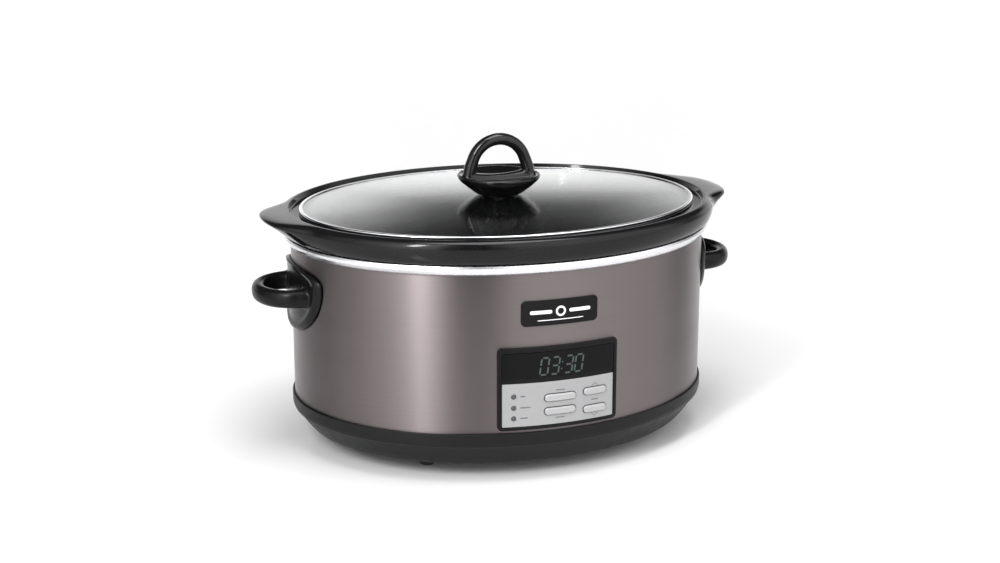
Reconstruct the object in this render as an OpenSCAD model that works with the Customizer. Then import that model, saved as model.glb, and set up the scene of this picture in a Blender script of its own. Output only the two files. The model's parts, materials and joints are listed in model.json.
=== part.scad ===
/* Oval programmable slow cooker.
   Origin on the table under the middle of the cooker, +Z up, control panel facing -Y. */

/* [Body] */
// Length of the steel body from left to right
body_length = 372; // [350:1:390]
// Depth of the oval as a share of its length
depth_ratio = 0.805; // [0.79:0.005:0.82]
// Height of the steel wrap's lower edge above the table
shell_base = 40.5; // [39:0.5:42]
// Height of the steel wrap's upper edge above the table
shell_top = 179; // [176:0.5:182]
// Thickness of the steel wrap
shell_wall = 1; // [0.8:0.1:1.2]
// How far the bright rim ring flares past the body
ring_flare = 5.8; // [4:0.1:7]

/* [Base and feet] */
// How far the base band stands proud of the body
band_proud = 2; // [1.5:0.1:2.5]
// Height of the base floor above the table
base_floor = 10; // [8:0.5:12]
// Wall of the moulded base
base_wall = 2.6; // [2:0.1:3]
// Radius of a foot
foot_radius = 6; // [5:0.5:8]
// Distance of the feet from the middle, left and right
foot_x = 94; // [80:1:100]
// Distance of the feet from the middle, front and back
foot_y = 81; // [70:1:85]

/* [Heating well] */
// Thickness of the aluminium well
well_wall = 1.2; // [1:0.1:1.5]
// Height of the well's floor above the table
well_floor = 50; // [48:0.5:51]
// Radius of the well's mouth, measured along the length
well_mouth = 168.3; // [167:0.1:169]

/* [Crock] */
// Thickness of the stoneware wall
crock_wall = 8; // [6:0.5:9]
// Height of the crock's crest above the table
crock_top = 208.4; // [207:0.1:210]
// Height of the ledge that the lid rests on
lid_ledge = 203.6; // [203:0.1:204]
// How far each ear reaches past the steel body
ear_reach = 27; // [20:0.5:30]

/* [Lid] */
// Length of the lid over its metal band
lid_length = 356.4; // [352:0.2:360]
// Depth of the lid as a share of its length
lid_ratio = 0.766; // [0.76:0.002:0.77]
// Thickness of the glass
glass_thickness = 3.2; // [3:0.1:4]
// Height of the glass above the table at its middle
glass_top = 212.4; // [212:0.1:214]
// Outer radius of the handle's arch
arch_radius = 33; // [30:0.5:35]
// Radius of the round bar of the arch
arch_bar = 5.25; // [5:0.25:7]
// Height of the arch's top above the table
arch_top = 267; // [262:0.5:270]

/* [Side handles] */
// How far each loop reaches from the middle of the cooker
handle_reach = 224.5; // [215:0.5:230]
// Half the width of a loop, front to back
loop_half_width = 38; // [34:1:40]
// Thickness of the loop's bar seen from above
loop_bar = 12; // [10:0.5:13]
// Height of the loop's bar
loop_height = 18; // [14:1:20]
// Height of the loop's middle above the table
loop_level = 142.5; // [138:0.5:146]
// Half the width of the plate behind a loop
plate_half_width = 52.5; // [50:0.5:58]

/* [Control panel] */
// Width of the panel
panel_width = 106; // [104:1:108]
// Height of the panel's lower edge above the table
panel_low = 46; // [45:0.5:47]
// Height of the panel's upper edge above the table
panel_high = 117.2; // [116:0.2:119]
// How far the panel stands proud of the steel
panel_proud = 2.5; // [2.2:0.1:3]
// How far a key travels when pressed
key_travel = 1; // [0.6:0.1:1]

/* [Hidden] */
$fn = 96;

// Clearance between faces that move past each other or only rest together
gap = 0.3;
// Overlap that carries a cut past the face it opens
past = 1;

body_a = body_length / 2;
body_b = body_a * depth_ratio;
// The oval's front is an arc of this radius over the width of the panel
front_r = body_a / depth_ratio;
front_y = front_r - body_b;

// Heights that the parts share
band_high = 43.5;
band_low = 32;
ring_high = 187.3;
flange_high = 184;
rim_low = ring_high + gap;
well_turn = 14;
well_foot = 137;

// Heating band, wound round the lower half of the well
heater_low = 62;
heater_high = 112;
heater_thick = 1.8;

// Crock: its foot, its neck under the rim and its belly
crock_base = well_floor + 3;
crock_foot = 134;
crock_turn = 12;
crock_neck = body_a - 21;
crock_floor = crock_base + 8.5;
belly_in = body_a + 2.5;
belly_reach = 7.5;
belly_high = 201.6;
crest_inner = body_a + 1;

// Ears: discs whose edge stands out of the rim at both ends
ear_disc = 80;
ear_center = body_a + ear_reach - ear_disc;
ear_top = 207.6;
ear_bottom = 194.6;
ear_middle = 203.6;

// Lid: the metal band that holds the glass edge
lid_a = lid_length / 2;
lid_band_low = lid_ledge + gap;
lid_band_high = 207.9;
lid_band_depth = 3.6;
lid_band_wall = 0.8;
glass_hole = 3.2;
gasket_thick = 0.8;
handle_foot = glass_top + gasket_thick;
lid_screw_r = 2;

// Side handles: the plate lies on the end of the oval
plate_in = 123;
plate_out = 128;
plate_mid = 154.5;
plate_top = 167;
plate_bottom = 107;
plate_x = body_a - plate_in;
loop_center = 190;
loop_r = handle_reach - loop_center;
handle_screw_y = 30.5;

// Control panel, in layers from the front backwards
bezel_front = front_r + panel_proud;
bezel_back = front_r - 2.5;
bezel_floor = bezel_front - 1;
window_half = 46.5;
fascia_half = 49.2;
fascia_low = 49.2;
fascia_high = 86.4;
display_half = 49.6;
display_low = 90.3;
display_high = 112.4;
board_front = -138.4;
board_thick = 1.6;
// Keys: centre x, centre z, length
key_places = [[0, 72.4, 27.6], [0, 60.7, 27.6], [31.7, 73.8, 21.3], [31.7, 58.3, 21.3]];
key_height = 7.6;
key_front = bezel_front + 1.2;
// Back of the post behind each key, and the room left to its switch when pressed
post_back = -142.7;
post_room = 0.6;
lamp_x = -39.7;
lamp_heights = [75.4, 65.7, 56.5];
lamp_r = 2;
boss_x = 44;
boss_heights = [53.8, 108];
boss_r = 2.2;

// Inside the base
power_board_z = 22;
stud_r = 3;
gland_height = 58;
gland_bore = 3.4;

// Points of an arc of an ellipse about [x, z], from angle t0 to t1
function arc(x, z, rx, rz, t0, t1, n = 5) =
    [for (i = [0:n]) let (t = t0 + (t1 - t0) * i / n) [x + rx * cos(t), z + rz * sin(t)]];

// A profile turned round the vertical axis in eight sectors, each narrowed front to back
module oval(ratio = depth_ratio) {
    sector = 45;
    for (start = [0:sector:359])
        scale([1, ratio, 1])
            rotate_extrude(angle = sector, start = start)
                children();
}

module rounded_rect(w, h, r) {
    square([w - 2 * r, h], center = true);
    square([w, h - 2 * r], center = true);
    for (x = [-1, 1], y = [-1, 1])
        translate([x * (w / 2 - r), y * (h / 2 - r)])
            circle(r = r);
}

module pill(length, height) {
    square([length - height, height], center = true);
    for (x = [-1, 1])
        translate([x * (length - height) / 2, 0])
            circle(r = height / 2);
}

// A flat outline in x and z, carried straight back through the front of the body
module front_prism() {
    rotate([90, 0, 0])
        linear_extrude(height = 80)
            children();
}

// The part of front_prism that lies between two radii of the front's curve
module front_layer(r_in, r_out) {
    translate([0, -100, 0])
        intersection() {
            front_prism()
                children();
            translate([0, front_y + 100, 0])
                difference() {
                    cylinder(r = r_out, h = 200, $fn = 360);
                    translate([0, 0, -past])
                        cylinder(r = r_in, h = 200 + 2 * past, $fn = 360);
                }
        }
}

function front_at(r, x) = front_y - sqrt(r * r - x * x);

module lid_glass() {
    slope = [[15, 0], [50, 0.6], [100, 2.2], [140, 3.9], [165, 5.1]];
    edge_top = lid_band_high - lid_band_wall;
    edge_low = lid_band_low + lid_band_wall;
    edge_r = lid_a - lid_band_wall - 0.1;
    color("lightgray", 0.5)
        difference() {
            oval(lid_ratio)
                polygon(concat(
                    [[0, glass_top]],
                    [for (p = slope) [p[0], glass_top - p[1]]],
                    [[lid_a - lid_band_depth, edge_top], [edge_r, edge_top], [edge_r, edge_low],
                        [lid_a - lid_band_depth, edge_low]],
                    [for (i = [3:-1:0]) [slope[i][0], glass_top - glass_thickness - slope[i][1]]],
                    [[0, glass_top - glass_thickness]]));
            translate([0, 0, glass_top - 8])
                cylinder(r = glass_hole, h = 12);
        }
}

module lid_band() {
    inner = lid_a - lid_band_depth;
    color("gainsboro")
        oval(lid_ratio)
            polygon([[inner, lid_band_low], [lid_a, lid_band_low], [lid_a, lid_band_high],
                [inner, lid_band_high], [inner, lid_band_high - lid_band_wall],
                [lid_a - lid_band_wall, lid_band_high - lid_band_wall],
                [lid_a - lid_band_wall, lid_band_low + lid_band_wall],
                [inner, lid_band_low + lid_band_wall]]);
}

module lid_handle() {
    arch_base = 230;
    bridge_half = 4.5;
    color("black")
        difference() {
            union() {
                translate([0, 0, arch_base])
                    scale([1, 1, (arch_top - arch_base) / arch_radius])
                        rotate([90, 0, 0])
                            rotate_extrude(angle = 180)
                                translate([arch_radius - arch_bar, 0])
                                    circle(r = arch_bar, $fn = 48);
                rotate_extrude()
                    polygon([[0, handle_foot], [18, handle_foot], [21.5, 215], [26, 218.4], [30.5, 221.8],
                        [34.8, 225.4], [36.6, 228], [37, 230], [36, 231], [31.5, 229.8],
                        [20, 227], [0, 226]]);
                translate([0, bridge_half, 0])
                    rotate([90, 0, 0])
                        linear_extrude(height = 2 * bridge_half)
                            polygon([[-28, 224], [28, 224], [28, 233], [21, 233], [12, 231.2], [0, 230.5],
                                [-12, 231.2], [-21, 233], [-28, 233]]);
            }
            translate([0, 0, handle_foot - past])
                cylinder(r = lid_screw_r + 0.05, h = 11 + past, $fn = 48);
        }
}

module handle_gasket() {
    color("dimgray")
        translate([0, 0, glass_top])
            difference() {
                cylinder(r = 14, h = gasket_thick);
                translate([0, 0, -past])
                    cylinder(r = glass_hole, h = gasket_thick + 2 * past);
            }
}

module handle_washer() {
    color("silver")
        translate([0, 0, glass_top - glass_thickness - 1])
            difference() {
                cylinder(r = 8, h = 1);
                translate([0, 0, -past])
                    cylinder(r = lid_screw_r + 0.3, h = 1 + 2 * past);
            }
}

module handle_screw() {
    head_low = glass_top - glass_thickness - 3.6;
    color("silver")
        difference() {
            union() {
                translate([0, 0, head_low])
                    cylinder(r = 4, h = 2.6);
                translate([0, 0, head_low])
                    cylinder(r = lid_screw_r, h = handle_foot + 10.5 - head_low);
            }
            for (turn = [0, 90])
                rotate([0, 0, turn])
                    translate([-2.5, -0.5, head_low - past])
                        cube([5, 1, past + 1.4]);
        }
}

module crock_body() {
    wall_foot = crock_foot - crock_wall + crock_turn;
    wall_neck = crock_neck - crock_wall;
    oval()
        polygon(concat(
            [[0, crock_base]],
            arc(crock_foot, crock_base + crock_turn, crock_turn, crock_turn, -90, -12),
            [[crock_neck, rim_low - 6], [crock_neck + 4, rim_low], [belly_in, rim_low]],
            arc(belly_in, belly_high, belly_reach, belly_high - rim_low, -75, 0),
            arc(belly_in, belly_high, belly_reach, crock_top - belly_high, 18, 90),
            [[crest_inner, crock_top], [crest_inner - 0.6, lid_ledge + 2], [crest_inner - 2.5, lid_ledge],
                [wall_neck + 6, lid_ledge], [wall_neck + 1, 199], [wall_neck, 192]],
            arc(wall_foot - 16, crock_floor + 16, 16, 16, -10, -90),
            [[0, crock_floor]]));
}

// An ear is the end of a disc, cut off where it meets the thick of the rim
module crock_ear(side) {
    sector = 45;
    difference() {
        for (start = [-90:sector:89])
            scale([1, depth_ratio, 1])
                translate([side * ear_center, 0, 0])
                    rotate_extrude(angle = sector, start = start + 90 * (1 - side))
                        polygon(concat(
                            [[0, ear_bottom], [ear_disc - 18, ear_bottom]],
                            arc(ear_disc - 18, ear_middle, 18, ear_middle - ear_bottom, -65, 0),
                            arc(ear_disc - 5, ear_middle, 5, ear_top - ear_middle, 25, 90),
                            [[0, ear_top]]));
        oval()
            translate([100, 185])
                square([belly_in - 100, 30]);
    }
}

module crock() {
    color("#161616") {
        crock_body();
        for (side = [-1, 1])
            crock_ear(side);
    }
}

module trim_ring() {
    lip = body_a + ring_flare;
    color("whitesmoke")
        oval()
            polygon([[body_a - shell_wall - 0.1, shell_top], [body_a + 0.1, shell_top],
                [body_a + 2.6, shell_top + 1.2], [lip - 0.9, shell_top + 4.2],
                [lip, shell_top + 6.4], [lip - 0.7, ring_high], [body_a + 2.5, ring_high],
                [body_a - 4, ring_high - 1.6], [body_a - 12, flange_high + 1.2],
                [body_a - 12, flange_high], [body_a - shell_wall - 0.1, flange_high]]);
}

module outer_shell() {
    color("#6f6567")
        difference() {
            oval()
                translate([body_a - shell_wall, shell_base])
                    square([shell_wall, shell_top - shell_base]);
            translate([-window_half - 0.1, -body_b - 20, panel_low + 5.4])
                cube([2 * window_half + 0.2, 60, panel_high - panel_low - 10.8]);
            for (side = [-1, 1], y = [-1, 1])
                translate([side * (body_a - 10), y * handle_screw_y, loop_level])
                    rotate([0, side * 90, 0])
                        cylinder(r = 1.9, h = 20, $fn = 32);
            translate([0, body_b - 10, gland_height])
                rotate([-90, 0, 0])
                    cylinder(r = 6.1, h = 20);
        }
}

module heating_well() {
    foot = well_floor - well_wall;
    color("silver")
        oval()
            polygon(concat(
                [[0, foot]],
                arc(well_foot, foot + well_turn, well_turn + well_wall, well_turn, -90, -8),
                [[well_mouth + well_wall, flange_high - 4], [well_mouth + well_wall, flange_high - well_wall],
                    [body_a - shell_wall - 0.1, flange_high - well_wall],
                    [body_a - shell_wall - 0.1, flange_high], [well_mouth, flange_high],
                    [well_mouth, flange_high - 4]],
                arc(well_foot, well_floor + well_turn, well_turn, well_turn, -8, -90),
                [[0, well_floor]]));
}

// Outer radius of the well's side at height z
function well_side(z) =
    let (low_r = well_foot + (well_turn + well_wall) * cos(8),
        low_z = well_floor - well_wall + well_turn * (1 - sin(8)))
    low_r + (well_mouth + well_wall - low_r) * (z - low_z) / (flange_high - 4 - low_z);

// A sleeve round the well, from out to out + thick away from its side
module well_sleeve(low, high, out, thick) {
    oval()
        polygon([[well_side(low) + out, low], [well_side(high) + out, high],
            [well_side(high) + out + thick, high], [well_side(low) + out + thick, low]]);
}

module heating_band() {
    color("tan")
        well_sleeve(heater_low, heater_high, 0.05, heater_thick);
}

module band_insulation() {
    color("wheat")
        well_sleeve(heater_low + 1, heater_high + 2, 0.1 + heater_thick, 2.2);
}

module heater_leads() {
    lead_r = 1.6;
    rise_x = -(well_side(heater_low) + 0.9);
    board_x = -48;
    level = 32;
    color("firebrick")
        for (y = [-8, 8]) {
            translate([rise_x, y, level])
                cylinder(r = lead_r, h = heater_low - level, $fn = 24);
            translate([rise_x, y, level])
                sphere(r = lead_r, $fn = 24);
            translate([rise_x, y, level])
                rotate([0, 90, 0])
                    cylinder(r = lead_r, h = board_x - rise_x, $fn = 24);
            translate([board_x, y, level])
                sphere(r = lead_r, $fn = 24);
            translate([board_x, y, power_board_z + board_thick])
                cylinder(r = lead_r, h = level - power_board_z - board_thick, $fn = 24);
        }
}

module well_stud() {
    color("silver")
        translate([0, 0, 4.5])
            cylinder(r = stud_r, h = well_floor - well_wall - 4.5);
}

module stud_nut() {
    color("darkgray")
        difference() {
            union() {
                translate([0, 0, base_floor - 4.4])
                    cylinder(r = 6, h = 3.4, $fn = 6);
                translate([0, 0, base_floor - 1])
                    cylinder(r = 8, h = 1);
            }
            translate([0, 0, base_floor - 4.4 - past])
                cylinder(r = stud_r, h = 4.4 + 2 * past);
        }
}

module base_pan() {
    band_a = body_a + band_proud;
    seat = body_a + 0.15;
    rabbet = body_a - shell_wall - 1.6;
    edge = body_a - 9;
    oval()
        polygon(concat(
            [[0, base_floor], [140, base_floor], [160, base_floor + 1.4]],
            arc(edge - 7, base_floor + 9.5, 7, 7, -75, -15, 4),
            [[body_a + 0.4, band_low - 1.2], [band_a - 1, band_low - 0.4]],
            arc(band_a - 1.8, band_low + 1.8, 1.8, 1.8, -45, 0, 3),
            [[band_a, band_high], [seat, band_high], [seat, shell_base], [rabbet, shell_base],
                [rabbet, band_low], [edge - base_wall - 0.5, base_floor + 10],
                [edge - 9.5, base_floor + base_wall + 2.4], [159.5, base_floor + base_wall + 1.2],
                [140, base_floor + base_wall], [0, base_floor + base_wall]]));
}

// Corners of the power board, where it stands on posts
power_posts = [for (x = [-58, 28], y = [-36, 36]) [x, y]];

module base_housing() {
    color("#2b2b2d")
        difference() {
            union() {
                base_pan();
                for (p = power_posts)
                    translate([p[0], p[1], base_floor + 1])
                        cylinder(r = 3.5, h = power_board_z - base_floor - 1, $fn = 32);
            }
            translate([0, 0, base_floor - past])
                cylinder(r = stud_r + 0.4, h = 12, $fn = 48);
            for (x = [-1, 1], y = [-1, 1])
                translate([x * foot_x, y * foot_y, base_floor - past])
                    cylinder(r = 3.2, h = 12, $fn = 48);
            for (p = power_posts)
                translate([p[0], p[1], power_board_z - 8])
                    cylinder(r = 1.25, h = 8 + past, $fn = 32);
            for (row = [-1, 1], i = [0:5])
                translate([row * 62 - 20, (i - 2.5) * 11 - 1.5, base_floor - past])
                    cube([40, 3, 12]);
        }
}

module rubber_feet() {
    color("#1c1c1c")
        for (x = [-1, 1], y = [-1, 1])
            translate([x * foot_x, y * foot_y, 0]) {
                cylinder(r1 = foot_radius - 0.8, r2 = foot_radius, h = 1.2, $fn = 48);
                translate([0, 0, 1.2])
                    cylinder(r = foot_radius, h = base_floor - 1.2, $fn = 48);
                translate([0, 0, base_floor - 0.5])
                    cylinder(r = 3.1, h = base_wall + 0.5, $fn = 48);
                translate([0, 0, base_floor + base_wall])
                    cylinder(r = 4.2, h = 1.5, $fn = 48);
            }
}

module handle_plate() {
    rotate([90, 0, 90])
        linear_extrude(height = 220)
            polygon(concat(
                arc(0, plate_mid, plate_half_width, plate_mid - plate_bottom, 180, 360, 24),
                arc(0, plate_mid, plate_half_width, plate_top - plate_mid, 15, 165, 16)));
}

module side_handle(side) {
    scale([side, 1, 1])
        difference() {
            union() {
                intersection() {
                    handle_plate();
                    translate([plate_x, 0, 90])
                        cylinder(r = plate_out, h = 90, $fn = 180);
                }
                difference() {
                    translate([loop_center, 0, loop_level])
                        oval(loop_half_width / loop_r)
                            translate([loop_r - loop_bar / 2, 0])
                                rounded_rect(loop_bar, loop_height, 5);
                    translate([0, -60, 100])
                        cube([plate_x + 116, 120, 80]);
                }
            }
            translate([plate_x, 0, 80])
                cylinder(r = plate_in, h = 110, $fn = 180);
            for (y = [-1, 1])
                translate([plate_x + 110, y * handle_screw_y, loop_level])
                    rotate([0, 90, 0])
                        cylinder(r = 1.55, h = 22, $fn = 32);
        }
}

module side_handle_left() {
    color("#131313")
        side_handle(-1);
}

module side_handle_right() {
    color("#131313")
        side_handle(1);
}

module side_handle_screws() {
    wall_x = body_a * sqrt(1 - pow(handle_screw_y / body_b, 2)) - shell_wall;
    color("silver")
        for (side = [-1, 1], y = [-1, 1])
            translate([side * (wall_x - 3.5), y * handle_screw_y, loop_level])
                rotate([0, side * 90, 0]) {
                    cylinder(r = 3.5, h = 2.2, $fn = 32);
                    cylinder(r = 1.5, h = 15, $fn = 32);
                }
}

module key_outline(key, spare = 0) {
    translate([key[0], key[1]])
        pill(key[2] + 2 * spare, key_height + 2 * spare);
}

module panel_bezel() {
    height = panel_high - panel_low;
    mid = (panel_high + panel_low) / 2;
    color("#0c0c0e")
        difference() {
            union() {
                front_layer(front_r + 0.1, bezel_front)
                    translate([0, mid])
                        rounded_rect(panel_width, height, 4);
                front_layer(bezel_back, front_r + 0.5)
                    translate([0, mid])
                        rounded_rect(2 * window_half - 0.4, height - 11.6, 3);
                for (x = [-boss_x, boss_x], z = boss_heights)
                    translate([x, board_front, z])
                        rotate([90, 0, 0])
                            cylinder(r = boss_r, h = 5.6, $fn = 32);
            }
            front_layer(bezel_floor, bezel_front + past)
                translate([0, (fascia_low + display_high) / 2])
                    rounded_rect(2 * display_half + 0.4, display_high - fascia_low + 0.4, 2.5);
            front_layer(bezel_back - 6, bezel_front)
                translate([0, (display_low + display_high) / 2])
                    rounded_rect(2 * window_half - 9, display_high - display_low - 3, 2);
            for (key = key_places)
                front_layer(bezel_back - 6, bezel_front)
                    key_outline(key, gap);
            for (z = lamp_heights)
                front_layer(bezel_back - 6, bezel_front)
                    translate([lamp_x, z])
                        circle(r = lamp_r + 0.2, $fn = 32);
            for (x = [-boss_x, boss_x], z = boss_heights)
                translate([x, board_front + past, z])
                    rotate([90, 0, 0])
                        cylinder(r = 1.05, h = 5.4, $fn = 32);
        }
}

module display_window() {
    color("#101418", 0.85)
        front_layer(bezel_floor + 0.02, bezel_front - 0.2)
            translate([0, (display_low + display_high) / 2])
                rounded_rect(2 * display_half, display_high - display_low, 2);
}

module panel_fascia() {
    color("#c9cacc")
        difference() {
            front_layer(bezel_floor + 0.02, bezel_front - 0.1)
                translate([0, (fascia_low + fascia_high) / 2])
                    square([2 * fascia_half, fascia_high - fascia_low], center = true);
            for (key = key_places)
                front_layer(bezel_floor - 2, bezel_front + past)
                    key_outline(key, gap);
            for (z = lamp_heights)
                front_layer(bezel_floor - 2, bezel_front + past)
                    translate([lamp_x, z])
                        circle(r = lamp_r + 0.2, $fn = 32);
        }
}

module display_module() {
    color("#0e1412")
        translate([-26, board_front - 5, 91.8])
            cube([52, 5, 17]);
}

module key(place) {
    flange_wider = 0.8;
    flange_back = bezel_back - 1.4;
    color("#d4d5d6") {
        front_layer(flange_back, key_front)
            key_outline(place);
        front_layer(flange_back, bezel_back - gap)
            key_outline(place, flange_wider);
        translate([place[0], post_back, place[1]])
            rotate([90, 0, 0])
                cylinder(r = 2.2, h = post_back - front_at(flange_back, place[0]) + 0.5, $fn = 32);
    }
}

module key_select() {
    key(key_places[0]);
}

module key_power() {
    key(key_places[1]);
}

module key_up() {
    key(key_places[2]);
}

module key_down() {
    key(key_places[3]);
}

module key_switches() {
    plunger = board_front - post_back - key_travel - post_room;
    color("dimgray")
        for (place = key_places)
            translate([place[0], board_front, place[1]])
                rotate([90, 0, 0]) {
                    translate([-3, -3, 0])
                        cube([6, 6, 1.8]);
                    cylinder(r = 1.6, h = plunger, $fn = 32);
                }
}

module indicator_lights() {
    color("#3c3c3c")
        for (z = lamp_heights)
            translate([lamp_x, board_front, z])
                rotate([90, 0, 0])
                    cylinder(r = lamp_r, h = board_front - front_at(bezel_front - 0.1, lamp_x), $fn = 32);
}

module control_board() {
    color("darkgreen")
        difference() {
            translate([-48, board_front, 51])
                cube([96, board_thick, 60]);
            for (x = [-boss_x, boss_x], z = boss_heights)
                translate([x, board_front - past, z])
                    rotate([-90, 0, 0])
                        cylinder(r = 1.3, h = board_thick + 2 * past, $fn = 32);
        }
}

module board_screws() {
    color("silver")
        for (x = [-boss_x, boss_x], z = boss_heights)
            translate([x, board_front + board_thick, z]) {
                rotate([-90, 0, 0])
                    cylinder(r = 2.2, h = 1.4, $fn = 32);
                rotate([90, 0, 0])
                    cylinder(r = 1, h = 5, $fn = 32);
            }
}

module board_heat_shield() {
    color("gainsboro")
        translate([-50, board_front + board_thick + 3, 50.5])
            cube([100, 0.6, 62]);
}

module panel_cable() {
    cable_y = board_front + board_thick;
    turn_z = 34;
    end_y = -36;
    color("lightgray") {
        translate([-22, cable_y, turn_z])
            cube([14, 1, 24]);
        translate([-22, cable_y, turn_z])
            cube([14, end_y - cable_y, 1]);
        translate([-22, end_y - 1, power_board_z + board_thick])
            cube([14, 1, turn_z + 1 - power_board_z - board_thick]);
    }
}

module power_board() {
    color("darkgreen")
        difference() {
            translate([-64, -42, power_board_z])
                cube([98, 84, board_thick]);
            for (p = power_posts)
                translate([p[0], p[1], power_board_z - past])
                    cylinder(r = 1.5, h = board_thick + 2 * past, $fn = 32);
            translate([0, 0, power_board_z - past])
                cylinder(r = stud_r + 3, h = board_thick + 2 * past, $fn = 48);
        }
}

module power_board_parts() {
    top = power_board_z + board_thick;
    color("#30353a") {
        translate([-40, -30, top])
            cube([28, 24, 18]);
        translate([12, 10, top])
            cube([15, 19, 15]);
        for (x = [14, 24])
            translate([x, -22, top])
                cylinder(r = 4, h = 12, $fn = 32);
    }
}

module thermistor_probe() {
    color("goldenrod") {
        translate([52, 20, well_floor - well_wall - 5])
            cylinder(r = 5, h = 5, $fn = 48);
        translate([46, 14, well_floor - well_wall - 6.5])
            cube([12, 12, 1.5]);
    }
}

module thermal_fuse() {
    level = well_floor - well_wall - 2;
    color("lightgray") {
        translate([-62, 52, level])
            rotate([0, 90, 0])
                cylinder(r = 2, h = 22, $fn = 32);
        translate([-54, 47, level - 2.4])
            cube([6, 10, 4.4]);
    }
}

module cord_gland() {
    color("#1a1a1a")
        translate([0, body_b - 8, gland_height])
            rotate([-90, 0, 0])
                difference() {
                    union() {
                        cylinder(r = 6, h = 9, $fn = 64);
                        cylinder(r = 7.6, h = 6.6, $fn = 64);
                        translate([0, 0, 8])
                            cylinder(r = 9, h = 2.6, $fn = 64);
                    }
                    translate([0, 0, -past])
                        cylinder(r = gland_bore, h = 12 + past, $fn = 64);
                }
}

module front_badge() {
    color("black")
        front_layer(front_r + 0.05, front_r + 1.6)
            translate([0, 145.4])
                rounded_rect(67, 21.6, 4);
}

lid_glass();
lid_band();
lid_handle();
handle_gasket();
handle_washer();
handle_screw();
crock();
trim_ring();
outer_shell();
heating_well();
heating_band();
band_insulation();
heater_leads();
well_stud();
stud_nut();
base_housing();
rubber_feet();
side_handle_left();
side_handle_right();
side_handle_screws();
panel_bezel();
display_window();
panel_fascia();
display_module();
key_select();
key_power();
key_up();
key_down();
key_switches();
indicator_lights();
control_board();
board_screws();
board_heat_shield();
panel_cable();
power_board();
power_board_parts();
thermistor_probe();
thermal_fuse();
cord_gland();
front_badge();
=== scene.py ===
import json
import math

import bmesh
import bpy
from mathutils import Matrix, Vector


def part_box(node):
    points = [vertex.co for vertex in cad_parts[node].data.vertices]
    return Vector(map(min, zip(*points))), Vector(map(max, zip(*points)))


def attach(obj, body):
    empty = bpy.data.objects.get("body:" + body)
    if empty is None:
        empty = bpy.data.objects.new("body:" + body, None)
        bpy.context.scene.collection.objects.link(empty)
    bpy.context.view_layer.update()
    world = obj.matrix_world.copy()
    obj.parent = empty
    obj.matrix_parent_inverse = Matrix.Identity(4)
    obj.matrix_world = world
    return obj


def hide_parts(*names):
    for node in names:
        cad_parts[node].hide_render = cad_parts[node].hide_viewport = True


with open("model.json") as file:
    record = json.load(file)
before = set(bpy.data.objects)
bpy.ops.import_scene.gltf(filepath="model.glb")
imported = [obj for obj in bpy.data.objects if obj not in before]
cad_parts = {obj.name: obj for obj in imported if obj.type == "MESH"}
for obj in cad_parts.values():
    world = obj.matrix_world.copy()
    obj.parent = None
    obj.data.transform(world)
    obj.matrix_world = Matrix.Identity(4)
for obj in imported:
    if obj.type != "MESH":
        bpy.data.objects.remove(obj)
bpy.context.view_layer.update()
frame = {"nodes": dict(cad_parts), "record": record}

MM = 0.001
# sides of a small, a middling and a large turned piece
ROUND = 288
WIDE_ROUND = 384
CROCK_ROUND = 432

# ---------------------------------------------------------------- sizes, in millimetres


def span(node):
    """Lowest and highest corner of a CAD node in millimetres."""
    low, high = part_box(node)
    return low / MM, high / MM


shell_low, shell_high = span("outer_shell")
ring_low, ring_high = span("trim_ring")
crock_low, crock_high = span("crock")
band_low, band_high = span("lid_band")
glass_high = span("lid_glass")[1]
knob_low, knob_high = span("lid_handle")
loop_low, loop_high = span("side_handle_right")
base_low, base_high = span("base_housing")
well_low, well_high = span("heating_well")
bezel_low, bezel_high = span("panel_bezel")
window_low, window_high = span("display_window")
fascia_low, fascia_high = span("panel_fascia")
lamps_low, lamps_high = span("indicator_lights")
badge_low, badge_high = span("front_badge")
feet_low, feet_high = span("rubber_feet")
gland_low, gland_high = span("cord_gland")

BODY_A = shell_high.x
BODY_B = shell_high.y
OVAL = BODY_B / BODY_A
FRONT_R = BODY_A / OVAL
FRONT_Y = FRONT_R - BODY_B
LID_OVAL = band_high.y / band_high.x
STEEL = 1
GAP = 0.3


# ---------------------------------------------------------------- mesh helpers


def new_object(name, mesh, material, sharp=35):
    """An object of one material, smooth except where faces meet more sharply than that."""
    mesh.materials.clear()
    mesh.materials.append(material)
    mesh.shade_smooth()
    mesh.set_sharp_from_angle(angle=math.radians(sharp))
    piece = bpy.data.objects.new(name, mesh)
    bpy.context.scene.collection.objects.link(piece)
    return piece


def mesh_from(name, points, faces, weld=1e-7, sliver=None):
    """A mesh from points in millimetres, with its normals turned outwards."""
    mesh = bpy.data.meshes.new(name)
    mesh.from_pydata([Vector(p) * MM for p in points], [], faces)
    bm = bmesh.new()
    bm.from_mesh(mesh)
    bmesh.ops.remove_doubles(bm, verts=bm.verts, dist=weld)
    if sliver is not None:
        thin = [face for face in bm.faces if face.calc_area() < sliver]
        bmesh.ops.delete(bm, geom=thin, context="FACES")
    bmesh.ops.recalc_face_normals(bm, faces=bm.faces)
    bm.to_mesh(mesh)
    bm.free()
    return mesh


def fillet(corners, steps=5):
    """A closed outline whose corners (r, z, radius) are rounded by arcs."""
    out = []
    count = len(corners)
    for i, (r, z, rad) in enumerate(corners):
        here = Vector((r, z))
        if rad <= 0:
            out.append((r, z))
            continue
        before = Vector(corners[i - 1][:2]) - here
        after = Vector(corners[(i + 1) % count][:2]) - here
        half = before.angle(after) / 2
        reach = min(rad / math.tan(half), before.length * 0.49, after.length * 0.49)
        start, end = before.normalized() * reach, after.normalized() * reach
        for k in range(steps + 1):
            t = k / steps
            # a quadratic curve with the corner as its middle control point
            out.append(tuple(here + start * (1 - t) ** 2 + end * t ** 2))
    return out


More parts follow.
